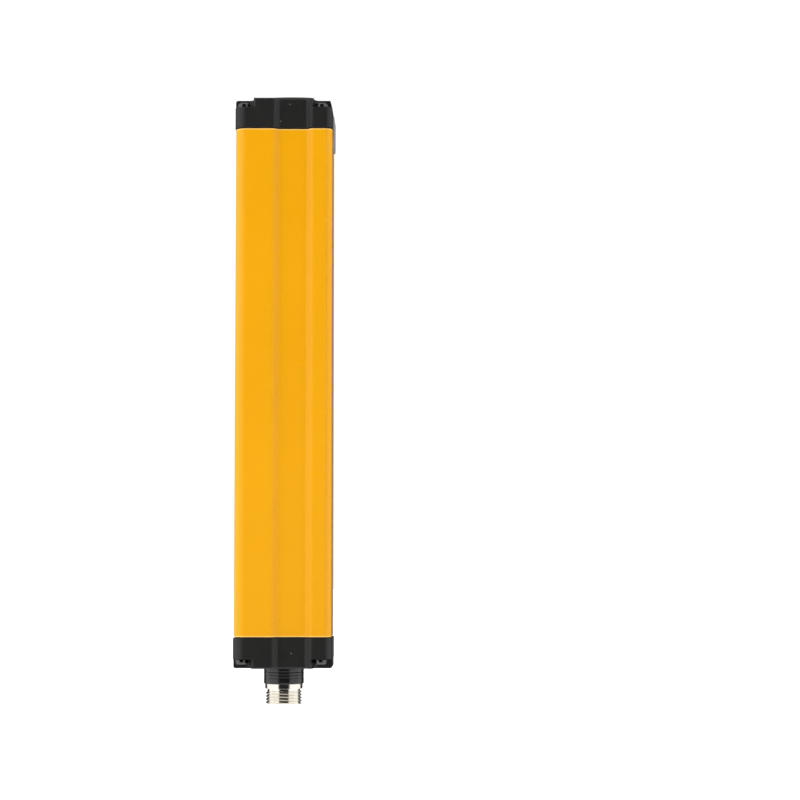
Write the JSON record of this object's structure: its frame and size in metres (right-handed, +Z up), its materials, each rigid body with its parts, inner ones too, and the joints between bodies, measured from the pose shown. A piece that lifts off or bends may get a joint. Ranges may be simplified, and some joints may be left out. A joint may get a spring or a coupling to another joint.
{
  "type": "safety light curtain",
  "caption": "Upright receiver bar of a safety light curtain: painted extruded housing with side channels, black end caps and a threaded plug connector below.",
  "frame": {"origin": "on the connector's axis, on the underside of the bottom cap, where the connector's collar meets it", "axes": "+Z up along the bar, +X the way the optical window looks, Y from flank to flank"},
  "size_m": [0.0323, 0.0274, 0.1994],
  "materials": {
    "yellow_paint": "satin powder coat",
    "window_tint": "polished dark red tint",
    "cap_plastic": "fine moulded satin",
    "collar_plastic": "satin",
    "carrier_plastic": "matt",
    "insert_plastic": "satin",
    "seal_rubber": "matt",
    "screw_steel": "black zinc plate",
    "nickel_plating": "bright nickel plate",
    "gold_contacts": "gold plate",
    "board_laminate": "solder mask",
    "clear_plastic": "polished clear",
    "diode_resin": "polished",
    "chip_resin": "matt",
    "capacitor_can": "satin",
    "led_resin": "clear",
    "indicator_cover": "polished smoke grey"
  },
  "bodies": {
    "root": {"housing_profile": "yellow_paint", "front_window": "window_tint", "window_seal_left": "seal_rubber", "window_seal_right": "seal_rubber", "bottom_cap": "cap_plastic", "top_cap": "cap_plastic", "bottom_gasket": "seal_rubber", "top_gasket": "seal_rubber", "bottom_cap_screws": "screw_steel", "top_cap_screws": "screw_steel", "connector_collar": "collar_plastic", "connector_o_ring": "seal_rubber", "connector_shell": "nickel_plating", "connector_nut": "nickel_plating", "connector_insert": "insert_plastic", "contact_pins": "gold_contacts", "connector_board": "board_laminate", "top_plug": "collar_plastic", "top_plug_o_ring": "seal_rubber", "top_plug_nut": "nickel_plating", "main_board": "board_laminate", "beam_board": "board_laminate", "lens_carrier": "carrier_plastic", "lenses": "clear_plastic", "photodiodes": "diode_resin", "board_link": "carrier_plastic", "processors": "chip_resin", "supply_capacitors": "capacitor_can", "indicator_leds": "led_resin", "light_guide": "clear_plastic", "indicator_window": "indicator_cover"}
  },
  "joints": []
}
